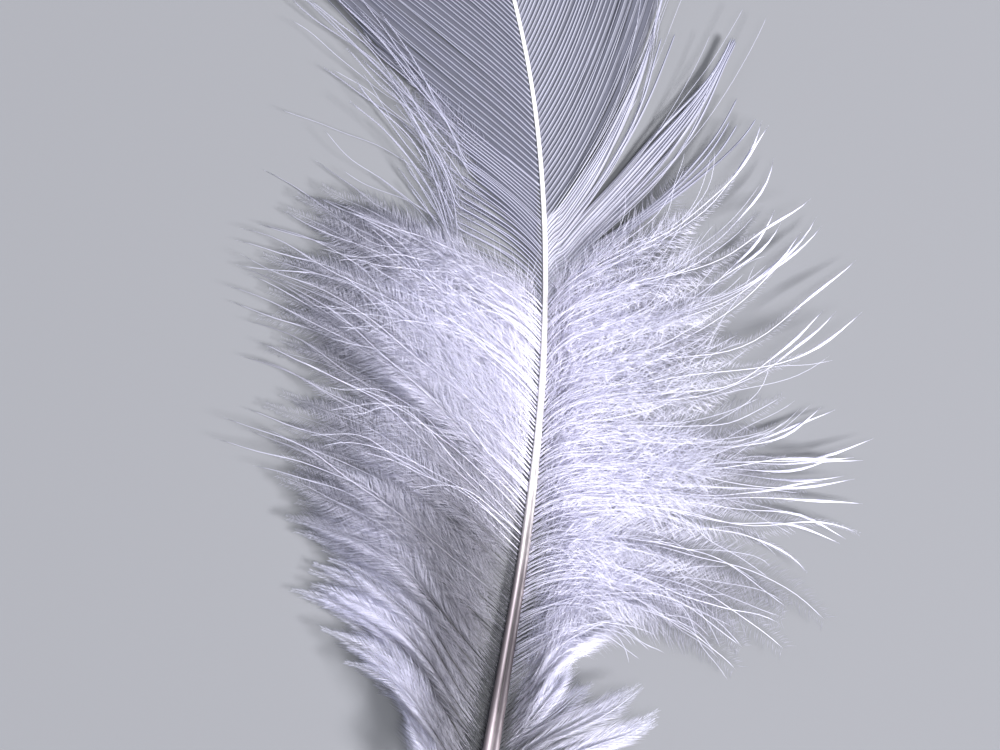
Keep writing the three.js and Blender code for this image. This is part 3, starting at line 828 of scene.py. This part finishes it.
def gatheredStrands(look):
    # each barb of a group moves a share of the way to the group's middle path, the share grows along it, and
    # groups that don't part again meet in a point
    ridges, webs = Strands(), Strands()
    for low, high, gather, length, parted in look["groups"]:
        station = np.arange(low, high, look["spacing"])
        count, steps = len(station), look["steps"]
        u = np.linspace(0, 1, steps)
        turn = wander(count, steps, look["wave"])
        turn = turn + rng.normal(0, look["ownTurn"], (count, 1)) * ease(u, *look["ownTurnSets"])
        # by the shaft they run flatter for a short way
        there, back = (ease(u, edge, edge + look["kinkOver"]) for edge in look["kinkAt"])
        turn = turn + look["kink"] * rng.uniform(*look["kinkShare"], (count, 1)) * (there - back)
        least, more = look["riseShare"]
        rise = (least + rng.uniform(0, more)) * ease(u, 0, 1) * look["rise"]
        rise = rise + rng.uniform(0, look["ownRise"], (count, 1)) * u
        lengths = rng.uniform(length * look["shortest"], length, count)
        path = barbPaths(1, station, steps, lengths, turn, rise, featherPlan["besideShaft"])
        centre = path.mean(0, keepdims=True)
        closing = 1 - gather * ease(u, *look["closeSets"]) * (1 - parted * ease(u, *look["partSets"]))
        closing = closing - (1 - gather) * look["meet"] * (parted == 0) * ease(u, *look["meetSets"])
        path = centre + (path - centre) * closing[None, :, None]
        half = look["web"] * (1 - look["webTaper"] * u[None]) * np.ones((count, 1))
        ridgesAndWebs(path, half, look, rng.uniform(*look["tone"], count), ridges, webs)
    addStrays(1, look, *look["strayAt"], look["strays"], ridges)
    return ridges, webs


ridges, webs = creasedStrands(looseLook["left"])
makePiece("loose_ridges_left", ridges, looseWhite)
makePiece("loose_webs_left", webs, webShade["left"], smooth=False)
ridges, webs = gatheredStrands(looseLook["right"])
makePiece("loose_ridges_right", ridges, strandWhite)
makePiece("loose_webs_right", webs, strandShade, smooth=False)


# Floor, light and camera.
stageLook = {
    "floor": (0.18, 0.186, 0.20), "roughness": 0.9, "size": 3.0, "sky": (0.86, 0.9, 1.0), "skyLight": 0.16,
}
floorMesh = bpy.data.meshes.new("floor")
h = stageLook["size"] / 2
floorMesh.from_pydata([(-h, -h, 0), (h, -h, 0), (h, h, 0), (-h, h, 0)], [], [(0, 1, 2, 3)])
floor = bpy.data.objects.new("floor", floorMesh)
bpy.context.scene.collection.objects.link(floor)
paper = bpy.data.materials.new("paleFloor")
paper.use_nodes = True
paperShader = paper.node_tree.nodes["Principled BSDF"]
paperShader.inputs["Base Color"].default_value = (*stageLook["floor"], 1)
paperShader.inputs["Roughness"].default_value = stageLook["roughness"]
floorMesh.materials.append(paper)

world = bpy.data.worlds.new("studio")
bpy.context.scene.world = world
world.use_nodes = True
sky = world.node_tree.nodes["Background"]
sky.inputs["Color"].default_value = (*stageLook["sky"], 1)
sky.inputs["Strength"].default_value = stageLook["skyLight"]

# name, place and aim in metres, size, power, colour
lampLook = (
    ("keyLight", (1.0, -0.42, 1.2), (0, -0.01, 0), 0.35, 56.0, (1.0, 0.98, 1.0)),
    ("topLight", (0.12, -0.1, 0.9), (0, -0.01, 0), 0.25, 5.6, (1.0, 0.99, 1.0)),
    ("fillLight", (-0.5, 0.3, 0.5), (0, 0, 0), 0.5, 1.0, (0.85, 0.9, 1.0)),
)


def softLight(name, place, aim, size, power, color):  # a round area light that faces its aim
    data = bpy.data.lights.new(name, "AREA")
    data.shape, data.size, data.energy, data.color = "DISK", size, power, color
    lamp = bpy.data.objects.new(name, data)
    lamp.location = place
    lamp.rotation_euler = (Vector(aim) - Vector(place)).to_track_quat("-Z", "Y").to_euler()
    bpy.context.scene.collection.objects.link(lamp)


for lampValues in lampLook:
    softLight(*lampValues)
print("floor and", len(lampLook), "lights are in place")

cameraLook = {"aim": (-3.64, -11.1), "height": 400.0, "frameWidth": 80.0, "sensor": 36.0, "clip": (0.01, 20)}
cameraData = bpy.data.cameras.new("camera")
camera = bpy.data.objects.new("camera", cameraData)
bpy.context.scene.collection.objects.link(camera)
camera.location = (cameraLook["aim"][0] * mm, cameraLook["aim"][1] * mm, cameraLook["height"] * mm)
cameraData.sensor_width = cameraLook["sensor"]
cameraData.lens = cameraLook["sensor"] * cameraLook["height"] / cameraLook["frameWidth"]
cameraData.clip_start, cameraData.clip_end = cameraLook["clip"]
bpy.context.scene.camera = camera

bpy.context.scene.view_settings.view_transform = "Standard"
